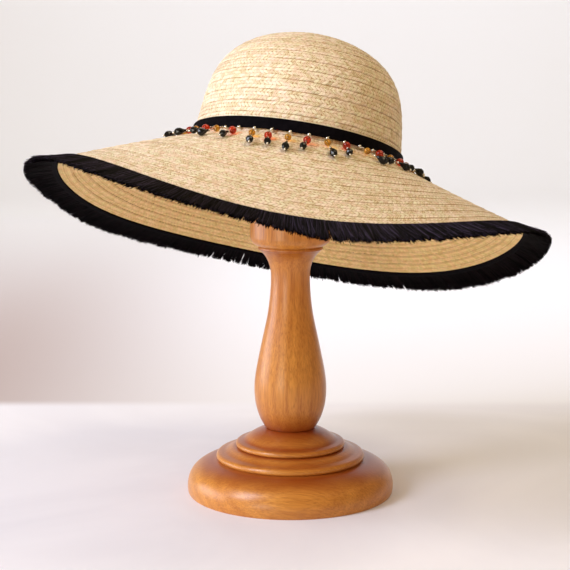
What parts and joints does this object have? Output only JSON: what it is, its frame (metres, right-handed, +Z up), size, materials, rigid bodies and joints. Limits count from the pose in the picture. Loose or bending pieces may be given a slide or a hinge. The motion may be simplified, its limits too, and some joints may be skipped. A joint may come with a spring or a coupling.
{
  "type": "floppy sun hat on a turned wooden hat stand",
  "caption": "Wide floppy straw sun hat with a ribbon band, hanging bead drops and a black fringed edge, resting aslant on a turned wooden hat stand.",
  "frame": {"origin": "centre of the stand's flat underside, on the surface it stands on", "axes": "+Z up along the stand's turned axis, -Y towards the hat's front, +X to the hat's right as the front is looked at"},
  "size_m": [0.4011, 0.4059, 0.3659],
  "materials": {
    "straw": "matt sewn straw braid, cream with tan flecks",
    "ribbon": "matt black ribbed ribbon",
    "fringe": "black frayed strands, slightly silky",
    "amber_bead": "clear amber glass over a dark faceted pear",
    "red_bead": "clear red glass over a dark faceted pear",
    "wood": "honey-brown satin varnish, fine straight grain"
  },
  "bodies": {
    "root": {"stand_base": "wood", "stand_post": "wood", "stand_head": "wood", "crown": "straw", "brim": "straw", "hat_band": "ribbon", "edge_binding": "ribbon", "fringe": "fringe", "bead_drop_01": "amber_bead", "bead_drop_02": "red_bead", "bead_drop_03": "amber_bead", "bead_drop_04": "red_bead", "bead_drop_05": "amber_bead", "bead_drop_06": "red_bead", "bead_drop_07": "amber_bead", "bead_drop_08": "red_bead", "bead_drop_09": "amber_bead", "bead_drop_10": "red_bead", "bead_drop_11": "amber_bead", "bead_drop_12": "red_bead", "bead_drop_13": "amber_bead", "bead_drop_14": "red_bead", "bead_drop_15": "amber_bead", "bead_drop_16": "red_bead", "bead_drop_17": "amber_bead", "bead_drop_18": "red_bead", "bead_drop_19": "amber_bead", "bead_drop_20": "red_bead", "bead_drop_21": "amber_bead", "bead_drop_22": "red_bead", "bead_drop_23": "amber_bead", "bead_drop_24": "red_bead", "bead_drop_25": "amber_bead", "bead_drop_26": "red_bead", "bead_drop_27": "amber_bead", "bead_drop_28": "red_bead", "bead_drop_29": "amber_bead", "bead_drop_30": "red_bead", "bead_drop_31": "amber_bead", "bead_drop_32": "red_bead", "bead_drop_33": "amber_bead", "bead_drop_34": "red_bead", "bead_drop_35": "amber_bead", "bead_drop_36": "red_bead", "bead_drop_37": "amber_bead", "bead_drop_38": "red_bead", "bead_drop_39": "amber_bead", "bead_drop_40": "red_bead", "bead_drop_41": "amber_bead", "bead_drop_42": "red_bead", "bead_drop_43": "amber_bead", "bead_drop_44": "red_bead"}
  },
  "joints": []
}
